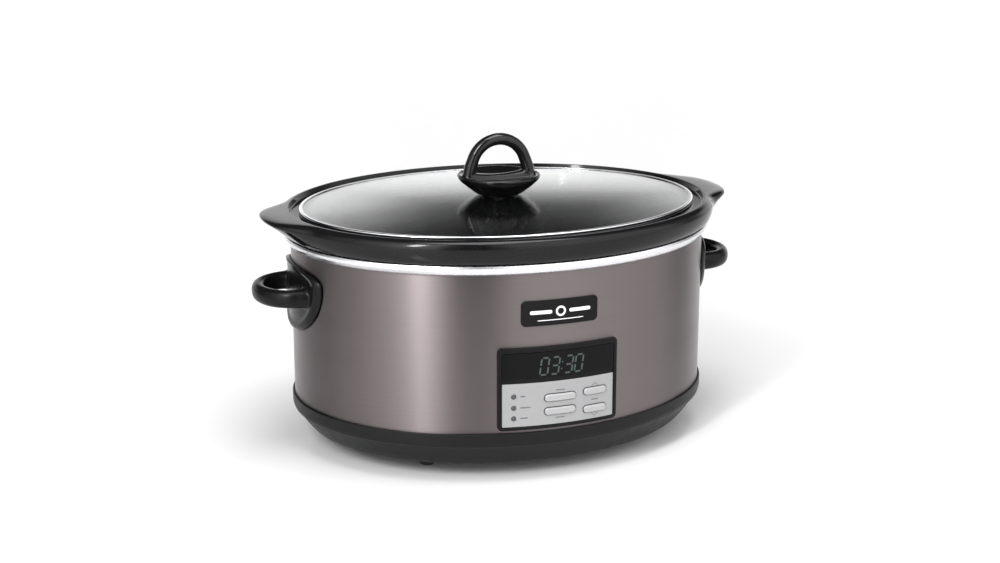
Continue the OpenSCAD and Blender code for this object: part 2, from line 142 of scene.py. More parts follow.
def skin(rings, closed=False):
    """Faces between neighbouring rings of point numbers, and from the last to the first if closed."""
    faces = []
    following = rings[1:] + rings[:1] if closed else rings[1:]
    for a, b in zip(rings, following):
        for k in range(len(a)):
            n = (k + 1) % len(a)
            face = list(dict.fromkeys([a[k], a[n], b[n], b[k]]))
            if len(face) > 2:
                faces.append(face)
    return faces


def lathe(name, outline, material, ratio=1.0, segments=ROUND, sharp=35, centre=(0, 0, 0)):
    """A closed outline of (r, z) turned round the vertical axis and narrowed front to back."""
    points, rings = [], []
    cx, cy, cz = centre
    for r, z in outline:
        if r < 1e-6:
            rings.append([len(points)] * segments)
            points.append((cx, cy, cz + z))
            continue
        first = len(points)
        rings.append(list(range(first, first + segments)))
        for k in range(segments):
            turn = 2 * math.pi * k / segments
            points.append((cx + r * math.cos(turn), cy + ratio * r * math.sin(turn), cz + z))
    return new_object(name, mesh_from(name, points, skin(rings, True)), material, sharp)


def sweep(name, path, section):
    """Carries section(i), a loop of (side, up) points, along path, a list of (point, side, up)."""
    points, faces = [], []
    size = len(section(0))
    for i, (at, side, up) in enumerate(path):
        for s, u in section(i):
            points.append(at + side * s + up * u)
    for i in range(len(path) - 1):
        for k in range(size):
            n = (k + 1) % size
            faces.append([i * size + k, i * size + n, (i + 1) * size + n, (i + 1) * size + k])
    faces.append(list(range(size))[::-1])
    faces.append([(len(path) - 1) * size + k for k in range(size)])
    return mesh_from(name, points, faces)


def melt(name, meshes, voxel, smooth, material, sharp=60):
    """Several closed meshes grown into one smooth-blended body."""
    bm = bmesh.new()
    for mesh in meshes:
        bm.from_mesh(mesh)
    joined = bpy.data.meshes.new(name)
    bm.to_mesh(joined)
    bm.free()
    piece = new_object(name, joined, material, sharp)
    remesh = piece.modifiers.new("grow", "REMESH")
    remesh.mode = "VOXEL"
    remesh.voxel_size = voxel * MM
    relax = piece.modifiers.new("relax", "CORRECTIVE_SMOOTH")
    relax.use_only_smooth = True
    relax.iterations = smooth
    relax.factor = 0.5
    return applied(piece, material, sharp)


def evaluated_mesh(piece):
    """A new mesh from an object, with its modifiers or its curve's bevel made part of it."""
    deps = bpy.context.evaluated_depsgraph_get()
    return bpy.data.meshes.new_from_object(piece.evaluated_get(deps))


def applied(piece, material, sharp):
    """The piece with its modifiers made part of its mesh."""
    mesh = evaluated_mesh(piece)
    name = piece.name
    bpy.data.objects.remove(piece)
    return new_object(name, mesh, material, sharp)


def rounded_rect(w, h, r, cx=0.0, cz=0.0, steps=6):
    """Points of an upright rounded rectangle, counter-clockwise."""
    out = []
    for sx, sz, start in ((1, 1, 0), (-1, 1, 90), (-1, -1, 180), (1, -1, 270)):
        x, z = cx + sx * (w / 2 - r), cz + sz * (h / 2 - r)
        for k in range(steps + 1):
            turn = math.radians(start + 90 * k / steps)
            out.append((x + r * math.cos(turn), z + r * math.sin(turn)))
    return out


def pill(length, height, cx=0.0, cz=0.0, grow=0.0):
    """Points of a rounded rectangle whose ends are half circles."""
    return rounded_rect(length + 2 * grow, height + 2 * grow, height / 2 + grow - 0.01, cx, cz, 10)


def disc(r, cx, cz, count=32):
    """Points of a circle, counter-clockwise."""
    turns = [2 * math.pi * k / count for k in range(count)]
    return [(cx + r * math.cos(turn), cz + r * math.sin(turn)) for turn in turns]


def front_plate(name, outlines, depths, material, step=2.0):
    """Outlines in x and z, the first outside and the others holes, made into a plate bent to the
    front. The depths are how far its back and face stand off the steel, and its edges' rounding."""
    back, face, bevel = depths
    curve = bpy.data.curves.new(name, "CURVE")
    curve.dimensions = "2D"
    curve.fill_mode = "BOTH"
    curve.bevel_depth = bevel
    curve.bevel_resolution = 3
    curve.offset = -bevel
    curve.extrude = (face - back) / 2 - bevel
    for outline in outlines:
        spline = curve.splines.new("POLY")
        spline.points.add(len(outline) - 1)
        spline.use_cyclic_u = True
        for p, (x, z) in zip(spline.points, outline):
            p.co = (x, z, 0, 1)
    holder = bpy.data.objects.new(name, curve)
    bpy.context.scene.collection.objects.link(holder)
    mesh = evaluated_mesh(holder)
    bpy.data.objects.remove(holder)
    bm = bmesh.new()
    bm.from_mesh(mesh)
    bmesh.ops.remove_doubles(bm, verts=bm.verts, dist=1e-4)
    x_low = min(v.co.x for v in bm.verts)
    x_high = max(v.co.x for v in bm.verts)
    cuts = max(2, int((x_high - x_low) / step))
    for k in range(1, cuts):
        x = x_low + (x_high - x_low) * k / cuts
        geometry = bm.verts[:] + bm.edges[:] + bm.faces[:]
        bmesh.ops.bisect_plane(bm, geom=geometry, plane_co=(x, 0, 0), plane_no=(1, 0, 0), dist=1e-5)
    middle = (back + face) / 2
    for v in bm.verts:
        v.co = front_point(v.co.x, v.co.y, middle + v.co.z) * MM
    bmesh.ops.recalc_face_normals(bm, faces=bm.faces)
    bm.to_mesh(mesh)
    bm.free()
    return new_object(name, mesh, material)


def front_point(x, z, off):
    """The point of the front at x and z, off millimetres outside the steel."""
    r = FRONT_R + off
    return Vector((x, FRONT_Y - math.sqrt(r * r - x * x), z))


# ---------------------------------------------------------------- materials

# the range in which a noise texture's factor mostly lies
NOISE_LOW = 0.3
NOISE_HIGH = 0.7


class Paint:
    """A material with one Principled shader and the nodes that vary it."""

    def __init__(self, name, color, metallic=0.0, roughness=0.5, **sockets):
        self.material = bpy.data.materials.new(name)
        self.material.use_nodes = True
        self.tree = self.material.node_tree
        self.shader = self.tree.nodes["Principled BSDF"]
        self.set("Base Color", (*color, 1.0))
        self.set("Metallic", metallic)
        self.set("Roughness", roughness)
        for socket, value in sockets.items():
            self.set(socket.replace("_", " "), value)

    def set(self, socket, value):
        """Gives one of the shader's sockets a fixed value."""
        self.shader.inputs[socket].default_value = value

    def node(self, kind, **values):
        """A new node, with each value set on the socket or the property of that name."""
        made = self.tree.nodes.new(kind)
        for key, value in values.items():
            if key in made.inputs:
                made.inputs[key].default_value = value
            else:
                setattr(made, key, value)
        return made

    def link(self, out, into):
        self.tree.links.new(out, into)

    def noise(self, scale, stretch=(1, 1, 1), detail=3.0, rough=0.5):
        """Noise over the object's own space, stretched by axis; returns its factor socket."""
        where = self.node("ShaderNodeTexCoord")
        mapping = self.node("ShaderNodeMapping")
        mapping.inputs["Scale"].default_value = stretch
        noise = self.node("ShaderNodeTexNoise", Scale=scale, Detail=detail, Roughness=rough)
        self.link(where.outputs["Object"], mapping.inputs["Vector"])
        self.link(mapping.outputs["Vector"], noise.inputs["Vector"])
        return noise.outputs["Fac"]

    def spread(self, factor, low, high, socket):
        """Drives a shader number between low and high."""
        ramp = self.node("ShaderNodeMapRange")
        ramp.inputs["From Min"].default_value = NOISE_LOW
        ramp.inputs["From Max"].default_value = NOISE_HIGH
        ramp.inputs["To Min"].default_value = low
        ramp.inputs["To Max"].default_value = high
        self.link(factor, ramp.inputs["Value"])
        self.link(ramp.outputs["Result"], self.shader.inputs[socket])

    def tint(self, factor, dark, light):
        """Drives the base colour between a dark and a light one."""
        ramp = self.node("ShaderNodeValToRGB")
        ramp.color_ramp.elements[0].position = NOISE_LOW
        ramp.color_ramp.elements[0].color = (*dark, 1)
        ramp.color_ramp.elements[1].position = NOISE_HIGH
        ramp.color_ramp.elements[1].color = (*light, 1)
        self.link(factor, ramp.inputs["Fac"])
        self.link(ramp.outputs["Color"], self.shader.inputs["Base Color"])

    def bump(self, factor, height, strength):
        """Raises the surface by up to height metres where the factor is high."""
        made = self.node("ShaderNodeBump", Strength=strength, Distance=height)
        self.link(factor, made.inputs["Height"])
        self.link(made.outputs["Normal"], self.shader.inputs["Normal"])


def around(color, share):
    """A darker and a lighter neighbour of a colour."""
    return tuple(c * (1 - share) for c in color), tuple(min(1, c * (1 + share)) for c in color)


def brushed_dark_steel():
    """Dark tinted steel, brushed round the body."""
    color = (0.158, 0.137, 0.139)
    paint = Paint("black_stainless", color, metallic=1.0, roughness=0.37,
                  Anisotropic=0.95, Anisotropic_Rotation=0.25)
    tangent = paint.node("ShaderNodeTangent", direction_type="RADIAL", axis="Z")
    paint.link(tangent.outputs["Tangent"], paint.shader.inputs["Tangent"])
    grain = paint.noise(14, (1, 1, 240), detail=4)
    broad = paint.noise(5, (1, 1, 12), detail=2)
    paint.spread(broad, 0.355, 0.385, "Roughness")
    paint.tint(grain, *around(color, 0.045))
    paint.bump(grain, 0.00001, 0.10)
    return paint.material


def satin_steel(name, color, roughness, stretch=(1, 1, 12), share=0.05):
    """Bright metal with a fine grain, drawn out by axis."""
    paint = Paint(name, color, metallic=1.0, roughness=roughness)
    grain = paint.noise(500, stretch, detail=3)
    paint.spread(grain, roughness * 0.85, roughness * 1.2, "Roughness")
    paint.tint(grain, *around(color, share))
    paint.bump(grain, 0.00002, 0.2)
    return paint.material


def glazed_stoneware():
    """Black glaze, slightly rippled and specked."""
    color = (0.004, 0.004, 0.0045)
    paint = Paint("glazed_stoneware", color, roughness=0.09, Specular_IOR_Level=0.22)
    ripple = paint.noise(38, detail=2)
    paint.bump(ripple, 0.0006, 0.05)
    specks = paint.noise(900, detail=1)
    paint.tint(specks, color, (0.007, 0.007, 0.0075))
    paint.spread(paint.noise(120, detail=2), 0.07, 0.12, "Roughness")
    return paint.material


def clear_glass():
    """Clear glass with a soft coat that catches the lights."""
    paint = Paint("lid_glass", (0.90, 0.93, 0.93), roughness=0.03, IOR=1.15, Transmission_Weight=1.0,
                  Specular_IOR_Level=0.1, Coat_Weight=1.0, Coat_Roughness=0.15, Coat_IOR=1.5)
    smear = paint.noise(25, detail=3)
    paint.spread(smear, 0.02, 0.06, "Roughness")
    paint.bump(smear, 0.0002, 0.02)
    return paint.material


def moulded(name, color, roughness, grain_scale, grain_height, grain_strength, **sockets):
    """Moulded plastic or rubber with a fine surface grain."""
    paint = Paint(name, color, roughness=roughness, **sockets)
    grain = paint.noise(grain_scale, detail=4)
    paint.bump(grain, grain_height, grain_strength)
    mottle = paint.noise(grain_scale / 12, detail=2)
    paint.spread(mottle, roughness * 0.85, roughness * 1.15, "Roughness")
    paint.tint(mottle, *around(color, 0.12))
    return paint.material


def silver_film(name, color, roughness):
    """Silver paint with fine metal flakes."""
    paint = Paint(name, color, metallic=0.35, roughness=roughness, Coat_Weight=0.2, Coat_Roughness=0.3)
    flakes = paint.noise(2600, detail=1)
    paint.tint(flakes, *around(color, 0.07))
    paint.spread(flakes, roughness * 0.8, roughness * 1.2, "Roughness")
    paint.bump(flakes, 0.00001, 0.3)
    return paint.material


def glow(name, color, strength):
    """A faintly lit display segment."""
    paint = Paint(name, color, roughness=0.3, Emission_Color=(*color, 1), Emission_Strength=strength)
    paint.tint(paint.noise(900, detail=1), *around(color, 0.15))
    return paint.material


def woven(name, color, scale, height):
    """Woven tape, felt or braid."""
    paint = Paint(name, color, roughness=0.9, Sheen_Weight=0.3)
    where = paint.node("ShaderNodeTexCoord")
    wave = paint.node("ShaderNodeTexWave", Scale=scale, Distortion=1.5, Detail=2.0)
    paint.link(where.outputs["Object"], wave.inputs["Vector"])
    paint.tint(wave.outputs["Fac"], *around(color, 0.25))
    paint.bump(wave.outputs["Fac"], height, 0.8)
    return paint.material


def circuit_board():
    """Green board with a pattern of tracks."""
    green = (0.02, 0.14, 0.06)
    paint = Paint("circuit_board", green, roughness=0.35, Coat_Weight=0.4, Coat_Roughness=0.2)
    where = paint.node("ShaderNodeTexCoord")
    tracks = paint.node("ShaderNodeTexBrick", Scale=220.0)
    paint.link(where.outputs["Object"], tracks.inputs["Vector"])
    paint.tint(tracks.outputs["Fac"], green, (0.06, 0.22, 0.10))
    return paint.material


NEAR_BLACK = (0.005, 0.005, 0.0055)

# a moulded finish has its colour, its roughness, and its grain's scale, height in metres and strength
MATERIALS = {
    "black_stainless": brushed_dark_steel(),
    "bright_ring": satin_steel("bright_ring", (0.74, 0.74, 0.76), 0.26),
    "lid_steel": satin_steel("lid_steel", (0.78, 0.78, 0.80), 0.11),
    "glazed_stoneware": glazed_stoneware(),
    "lid_glass": clear_glass(),
    "gloss_black": moulded("gloss_black", NEAR_BLACK, 0.10, 300, 0.00004, 0.10,
                           Specular_IOR_Level=0.12),
    "satin_black": moulded("satin_black", NEAR_BLACK, 0.24, 700, 0.00005, 0.15,
                           Specular_IOR_Level=0.13),
    "matt_black": moulded("matt_black", (0.008, 0.008, 0.0085), 0.40, 1500, 0.00012, 0.35,
                          Specular_IOR_Level=0.14),
    "silver_fascia": silver_film("silver_fascia", (0.31, 0.31, 0.314), 0.42),
    "silver_key": silver_film("silver_key", (0.36, 0.36, 0.365), 0.34),
    "smoked_window": moulded("smoked_window", (0.002, 0.002, 0.0025), 0.10, 200, 0.00002, 0.05,
                             Specular_IOR_Level=0.12),
    "display": glow("display", (0.030, 0.048, 0.042), 0.05),
    "lamp": moulded("lamp", (0.05, 0.05, 0.053), 0.18, 400, 0.00003, 0.1),
    "rubber_black": moulded("rubber_black", (0.015, 0.015, 0.015), 0.75, 1800, 0.00015, 0.5),
    "well_aluminium": satin_steel("well_aluminium", (0.70, 0.70, 0.72), 0.38, (1, 1, 20), 0.08),
    "heater": woven("heater", (0.50, 0.42, 0.30), 400, 0.0003),
    "insulation": woven("insulation", (0.75, 0.70, 0.60), 150, 0.0008),
    "lead_sleeve": woven("lead_sleeve", (0.40, 0.06, 0.04), 900, 0.0002),
    "zinc_steel": satin_steel("zinc_steel", (0.60, 0.61, 0.63), 0.35, (1, 1, 1), 0.08),
    "circuit_board": circuit_board(),
    "board_part": moulded("board_part", (0.04, 0.045, 0.05), 0.4, 600, 0.00006, 0.3),
    "ribbon": woven("ribbon", (0.55, 0.56, 0.58), 600, 0.0002),
    "brass_part": satin_steel("brass_part", (0.72, 0.52, 0.20), 0.3, (1, 1, 1), 0.08),
}

for part in frame["record"]["subparts"]:
    node = frame["nodes"][part["node"]]
    for slot in node.material_slots:
        slot.material = MATERIALS[part["material_slot"]]


def place(piece, body, slot, *nodes):
    """Lets a piece ride on its body and hides the CAD nodes that it stands for; the slot, its finish, is
    not used.
    """
    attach(piece, body)
    if nodes:
        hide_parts(*nodes)


# ---------------------------------------------------------------- steel wrap, ring, base, well

# every outline given to fillet lists its corners as (radius, height, rounding)


def steel_wrap():
    inner = BODY_A - STEEL
    low, high = shell_low.z, shell_high.z
    outline = fillet([(inner, low, 0), (BODY_A, low, 0.3), (BODY_A, high, 0.5), (inner, high, 0)], 3)
    piece = lathe("steel_wrap", outline, MATERIALS["black_stainless"], OVAL, WIDE_ROUND)
    place(piece, "cooker_base", "black_stainless", "outer_shell")


def rim_ring():
    """A flared ring whose inner flange lies on the well."""
    lip = ring_high.x
    low, top = ring_low.z, ring_high.z
    inner = BODY_A - 12
    under = top - 3.3
    outline = fillet([
        (BODY_A - STEEL, low, 0), (BODY_A + 1.2, low, 0.5), (BODY_A + 2.6, low + 1.2, 1.5),
        (lip - 0.9, low + 4.0, 2.0), (lip, low + 6.6, 1.0), (lip - 0.8, top, 0.6),
        (BODY_A + 2.5, top, 1.0), (BODY_A - 4, top - 1.6, 2.0), (inner, top - 2.1, 0.3),
        (inner, under, 0), (BODY_A - STEEL, under, 0)], 6)
    piece = lathe("rim_ring", outline, MATERIALS["bright_ring"], OVAL, WIDE_ROUND, 50)
    place(piece, "cooker_base", "bright_ring", "trim_ring")


BASE_WALL = 2.6
BASE_SHARP = 40
VENT_ROW = 62
VENT_PITCH = 11
VENT_COUNT = 6
STUD_HOLE = 3.4
FOOT_HOLE = 3.2
FOOT_R = 6
FEET_X = (feet_low.x + FOOT_R, feet_high.x - FOOT_R)
FEET_Y = (feet_low.y + FOOT_R, feet_high.y - FOOT_R)


def moulded_base():
    """A dish with an undercut skirt, a band at the seam, vents and screw holes in its floor."""
    band, seam = base_high.x, base_high.z
    bottom = base_low.z
    edge = BODY_A - 9
    rebate, rebate_z = BODY_A + 0.3, shell_low.z - 0.2
    inner = BODY_A - 3
    outline = fillet([
        (0, bottom, 0), (150, bottom, 12), (edge - 6, bottom + 2.2, 10), (edge, bottom + 9, 6),
        (BODY_A - 0.5, bottom + 20.5, 3), (BODY_A + 0.2, bottom + 21.4, 0.4),
        (band - 0.8, bottom + 21.8, 1.2), (band, bottom + 24.5, 2), (band, seam, 0.7),
        (rebate, seam, 0.3), (rebate, rebate_z, 0), (inner, rebate_z, 0), (inner, bottom + 22, 1),
        (edge - BASE_WALL, bottom + 10, 5), (edge - 12, bottom + BASE_WALL + 1.5, 5),
        (140, bottom + BASE_WALL, 5), (0, bottom + BASE_WALL, 0)], 7)
    piece = lathe("moulded_base", outline, MATERIALS["matt_black"], OVAL, WIDE_ROUND, BASE_SHARP)
    holes = []
    for row in (-1, 1):
        for i in range(VENT_COUNT):
            y = (i - (VENT_COUNT - 1) / 2) * VENT_PITCH
            holes.append(rounded_rect(40, 3, 1.4, row * VENT_ROW, y, 5))
    holes.append(disc(STUD_HOLE, 0, 0, 48))
    for x in FEET_X:
        for y in FEET_Y:
            holes.append(disc(FOOT_HOLE, x, y, 40))
    piece = cut_through(piece, holes, bottom - 2, bottom + BASE_WALL + 2, MATERIALS["matt_black"])
    place(piece, "cooker_base", "matt_black", "base_housing")


def prism(outline, low, high):
    """Points and faces of an upright prism on a flat outline."""
    n = len(outline)
    points = [(x, y, low) for x, y in outline] + [(x, y, high) for x, y in outline]
    faces = [list(range(n))[::-1], list(range(n, 2 * n))]
    faces += [[k, (k + 1) % n, n + (k + 1) % n, n + k] for k in range(n)]
    return points, faces


def cut_through(piece, outlines, low, high, material):
    """The piece with an upright prism cut out of it for each outline."""
    points, faces = [], []
    for outline in outlines:
        more, sides = prism(outline, low, high)
        faces += [[i + len(points) for i in side] for side in sides]
        points += more
    tool = bpy.data.objects.new("cutter", mesh_from("cutter", points, faces))
    bpy.context.scene.collection.objects.link(tool)
    modifier = piece.modifiers.new("cut", "BOOLEAN")
    modifier.operation = "DIFFERENCE"
    modifier.solver = "EXACT"
    modifier.object = tool
    cut = applied(piece, material, BASE_SHARP)
    bpy.data.objects.remove(tool)
    return cut


def well_liner():
    """A drawn pan whose flange reaches the inside of the wrap."""
    bottom, top = well_low.z, well_high.z
    wall = 1.2
    flange = BODY_A - STEEL - 0.1
    outline = fillet([
        (0, bottom, 0), (148, bottom, 14), (169.5, top - 1.4, 1.5), (flange, top - wall, 0),
        (flange, top, 0), (168.3, top, 2), (146.8, bottom + wall, 13), (0, bottom + wall, 0)], 8)
    piece = lathe("well_liner", outline, MATERIALS["well_aluminium"], OVAL, 256, 50)
    place(piece, "cooker_base", "well_aluminium", "heating_well")


def feet():
    """Four round feet, each with a neck through the floor and a barb above it."""
    neck, barb = FOOT_HOLE - 0.1, 4.2
    under, over, tip = base_low.z, base_low.z + BASE_WALL, feet_high.z
    outline = fillet([(0, 0, 0), (FOOT_R, 0, 1.2), (FOOT_R, under, 0.8), (neck, under, 0),
                      (neck, over, 0), (barb, over, 0.2), (barb, tip, 0.6), (0, tip, 0)], 4)
    for i, x in enumerate(FEET_X):
        for j, y in enumerate(FEET_Y):
            piece = lathe(f"foot_{i}{j}", outline, MATERIALS["rubber_black"], 1, 64, centre=(x, y, 0))
            place(piece, "cooker_base", "rubber_black", "rubber_feet")


# ---------------------------------------------------------------- crock

# the rolled rim runs from BELLY_IN out to BELLY_R, and is widest at BELLY_Z
BELLY_R = crock_high.y / OVAL
BELLY_IN = BODY_A + 2.5
BELLY_Z = 201.6
LEDGE_Z = 203.6
CROCK_FLOOR = 8.5
# an ear is a disc of EAR_R round EAR_X, cut off softly at EAR_CAP past the rim
EAR_R = 74
EAR_X = 219 - EAR_R
EAR_CAP = 17.4
EAR_CAP_SOFT = 3.0
EAR_BLEND = 12
EAR_FULL = 18
EAR_LIFT = 3.9
EAR_DROP = 0.6
EAR_FLATNESS = 2.6
EAR_UNDERCUT = 1.45
UNDER_STEPS = 15
OVER_STEPS = 18


def ear_reach(turn):
    """How far an ear carries the rim outwards in a direction, blended softly into the rim."""
    room = EAR_R ** 2 - (EAR_X * math.sin(turn)) ** 2
    if room <= 0:
        return 0.0
    past_rim = EAR_X * abs(math.cos(turn)) + math.sqrt(room) - BELLY_R
    if past_rim <= -EAR_BLEND:
        return 0.0
    reach = past_rim if past_rim >= EAR_BLEND else (past_rim + EAR_BLEND) ** 2 / (4 * EAR_BLEND)
    return -EAR_CAP_SOFT * math.log(math.exp(-reach / EAR_CAP_SOFT) + math.exp(-EAR_CAP / EAR_CAP_SOFT))


def crock_section(turn):
    """The crock's wall in one direction, from the axis below to the axis above."""
    low, top = crock_low.z, crock_high.z
    reach = ear_reach(turn)
    share = min(reach / EAR_FULL, 1)
    rim_low = ring_high.z + GAP
    middle = BELLY_Z + EAR_LIFT * share
    bulge = BELLY_R - BELLY_IN
    outside = fillet([(0, low, 0), (146, low, 12), (165, rim_low - 6, 3), (169, rim_low, 1.5),
                      (BELLY_IN - 1, rim_low, 0)], 6)
    outside = outside[:-1] + [(BELLY_IN - 1, rim_low)]
    under = []
    for k in range(1, UNDER_STEPS):
        rise = 1 - k / UNDER_STEPS
        lean = math.sin(rise * math.pi / 2)
        r = BELLY_IN + bulge * math.cos(rise * math.pi / 2) + reach * (1 - lean) ** EAR_UNDERCUT
        under.append((r, middle - (middle - rim_low) * lean))
    over = []
    power = 2 / (2 + EAR_FLATNESS * share)
    for k in range(OVER_STEPS + 1):
        angle = k / OVER_STEPS * math.pi / 2
        out, up = math.cos(angle) ** power, math.sin(angle) ** power
        drop = EAR_DROP * share * out
        over.append((BELLY_IN + (bulge + reach) * out, middle + (top - middle - drop) * up))
    floor_z = low + CROCK_FLOOR
    inside = fillet([(BELLY_IN - 0.5, top, 0), (BODY_A + 1, top, 1.2), (BODY_A - 0.6, LEDGE_Z, 1.6),
                     (163, LEDGE_Z, 2.5), (157, 192, 3), (139, low + 26, 6), (137, floor_z, 16),
                     (0, floor_z, 0)], 6)
    return outside + under + over + inside


def crock():
    """The wall's section carried round the oval."""
    segments = CROCK_ROUND
    points, rings = [], []
    columns = [crock_section(2 * math.pi * k / segments) for k in range(segments)]
    for i in range(len(columns[0])):
        if columns[0][i][0] < 1e-6:
            rings.append([len(points)] * segments)
            points.append((0, 0, columns[0][i][1]))
            continue
        rings.append(list(range(len(points), len(points) + segments)))
        for k in range(segments):
            r, z = columns[k][i]
            turn = 2 * math.pi * k / segments
            points.append((r * math.cos(turn), OVAL * r * math.sin(turn), z))
    mesh = mesh_from("stoneware_crock", points, skin(rings))
    piece = new_object("stoneware_crock", mesh, MATERIALS["glazed_stoneware"], 60)
    place(piece, "crock_body", "glazed_stoneware", "crock")


# ---------------------------------------------------------------- lid

LID_FLANGE = 3.6
BAND_WALL = 0.8
GLASS_THICK = 3.2
GLASS_HOLE = 3.2
GLASS_FLAT = 15
DOME_STEPS = 26
DOME_POWER = 1.7


def lid():
    """A steel band of C section round a low dome of glass, flat and drilled in its middle."""
    edge = band_high.x
    low, high = band_low.z, band_high.z
    rim = edge - LID_FLANGE
    inner = edge - BAND_WALL
    outline = fillet([(rim, low, 0), (edge, low, 1.3), (edge, high, 1.3), (rim, high, 0.3),
                      (rim, high - 0.7, 0.2), (inner, high - BAND_WALL, 0.4),
                      (inner, low + BAND_WALL, 0.4), (rim, low + BAND_WALL, 0)], 5)
    band = lathe("lid_rim_band", outline, MATERIALS["lid_steel"], LID_OVAL, WIDE_ROUND, 50)
    place(band, "lid", "lid_steel", "lid_band")
    fall = glass_high.z - (high - BAND_WALL)
    run = rim - GLASS_FLAT
    radii = [GLASS_HOLE, GLASS_FLAT]
    radii += [GLASS_FLAT + run * k / DOME_STEPS for k in range(1, DOME_STEPS + 1)]
    top = [(r, glass_high.z - fall * max(0, (r - GLASS_FLAT) / run) ** DOME_POWER) for r in radii]
    inner_edge = edge - 0.95
    outline = top + [(inner_edge, high - 0.85), (inner_edge, low + 0.85)]
    outline += [(r, z - GLASS_THICK + (0.0 if r < rim else 0.05)) for r, z in reversed(top)]
    glass = lathe("dome_glass", outline, MATERIALS["lid_glass"], LID_OVAL, ROUND, 30)
    place(glass, "lid", "lid_glass", "lid_glass")


ARCH_BAR = 5.3
ARCH_R = 25.1
ARCH_STEPS = 56
LEG_X = 27.7
LEG_STEPS = 8
LEG_FOOT = 224
SPLAY_Z = 244
SPLAY = 2.6
SWELL_STEPS = 16
BRIDGE_STEPS = 24
BRIDGE_TOP = 230.6


def lid_knob():
    """A tapering arch over a round dish, joined by a bridge with a hollow upper edge."""
    centre = knob_high.z - ARCH_BAR - ARCH_R
    middle = [Vector((LEG_X, 0, LEG_FOOT + k)) for k in range(LEG_STEPS)]
    for k in range(ARCH_STEPS + 1):
        turn = math.pi * k / ARCH_STEPS
        middle.append(Vector((ARCH_R * math.cos(turn), 0, centre + ARCH_R * math.sin(turn))))
    middle += [Vector((-LEG_X, 0, LEG_FOOT + k)) for k in reversed(range(LEG_STEPS))]
    # the arch's ends splay out to meet the legs
    for at in middle:
        if abs(at.x) < LEG_X and at.z < SPLAY_Z:
            at.x += math.copysign(SPLAY * ((SPLAY_Z - at.z) / 12) ** 1.2, at.x)
    path = []
    for k, at in enumerate(middle):
        along = (middle[min(k + 1, len(middle) - 1)] - middle[max(k - 1, 0)]).normalized()
        path.append((at, Vector((along.z, 0, -along.x)), Vector((0, 1, 0))))

    def section(i):
        depth = min(i, len(path) - 1 - i)
        swell = 1 + 0.22 * max(0, (SWELL_STEPS - depth) / SWELL_STEPS) ** 2
        return [(ARCH_BAR * swell * math.cos(t), ARCH_BAR * swell * 1.08 * math.sin(t))
                for t in (2 * math.pi * k / 32 for k in range(32))]

    arch = sweep("arch", path, section)
    knob_black = moulded("knob_black", NEAR_BLACK, 0.09, 300, 0.00003, 0.06, Specular_IOR_Level=0.34)
    low = knob_low.z
    rim = knob_high.x
    dish = fillet([(0, low, 0), (18, low, 1.2), (22, low + 1.9, 4), (30.5, 221.8, 8),
                   (rim - 1.4, 226.6, 5), (rim, 229.4, 1.0), (rim - 0.6, 231, 0.8),
                   (rim - 3.4, 230.8, 1.4), (27, 227.4, 6), (0, 225.6, 0)], 6)
    bowl = lathe("bowl", dish, knob_black, 1, 192)
    bowl_mesh = bowl.data.copy()
    bpy.data.objects.remove(bowl)
    bridge_path = []
    for k in range(BRIDGE_STEPS + 1):
        at = Vector((-LEG_X + 2 * LEG_X * k / BRIDGE_STEPS, 0, 0))
        bridge_path.append((at, Vector((0, 1, 0)), Vector((0, 0, 1))))

    def bridge_section(i):
        x = -1 + 2 * i / BRIDGE_STEPS
        top = BRIDGE_TOP + 3.4 * abs(x) ** 2.2
        wide = 5.0 + 1.5 * abs(x) ** 3
        right = [(wide * 1.15, LEG_FOOT), (wide, top - 2.5), (wide * 0.72, top - 0.6), (wide * 0.4, top)]
        return right + [(-side, up) for side, up in reversed(right)]

    bridge = sweep("bridge", bridge_path, bridge_section)
    piece = melt("lid_knob", [arch, bowl_mesh, bridge], 0.55, 8, knob_black)
    place(piece, "lid", "gloss_black", "lid_handle")


# ---------------------------------------------------------------- side handles

PLATE_MID = 154.5
PLATE_TURNS = 128
PLATE_RINGS = 22
PLATE_THICK = 3.3
PLATE_BACK = 0.15
PLATE_RIM = 1.9
RIB = 0.16
RIB_PITCH = 5.0
HANDLE_SHARP = 60


def wall_x(y):
    """How far the body's end reaches sideways at a depth y."""
    return BODY_A * math.sqrt(max(0, 1 - (y / BODY_B) ** 2))


def handle_plate():
    """A dished shield with a raised rim and faint upright ribs, lying on the end of the oval."""
    half_width = loop_high.y
    up, down = loop_high.z - PLATE_MID, PLATE_MID - loop_low.z
    turns, rings = PLATE_TURNS, PLATE_RINGS
    points = []

    def outline(turn):
        c, s = math.cos(turn), math.sin(turn)
        tall = up if s > 0 else down
        power = 2 / (2.5 if s > 0 else 2.05)
        return (half_width * abs(c) ** power * math.copysign(1, c),
                tall * abs(s) ** power * math.copysign(1, s))

    def thickness(share, y, z):
        edge = max(0.0, (share - 0.93) / 0.07)
        rim = math.exp(-((share - 0.90) / 0.055) ** 2)
        rib = 0.0
        if z < PLATE_MID - 16:
            rib = RIB * math.cos(2 * math.pi * y / RIB_PITCH) * max(0, 1 - share / 0.8)
        return (PLATE_THICK + PLATE_RIM * rim + rib) * math.sqrt(max(0.0, 1 - edge ** 2.2)) + PLATE_BACK

    for side in (0, 1):
        for i in range(rings + 1):
            share = math.sin(math.pi / 2 * i / rings) if i else 0.0
            for k in range(turns):
                y, dz = outline(2 * math.pi * k / turns)
                y, z = y * share, PLATE_MID + dz * share
                off = thickness(share, y, z) if side == 0 else PLATE_BACK
                points.append((wall_x(y) + off, y, z))
    size = (rings + 1) * turns
    front, back = [[list(range(first + i * turns, first + (i + 1) * turns)) for i in range(rings + 1)]
                   for first in (0, size)]
    faces = skin(front) + skin(back) + skin([front[-1], back[-1]])
    return mesh_from("plate", points, faces, weld=2e-5, sliver=1e-14)


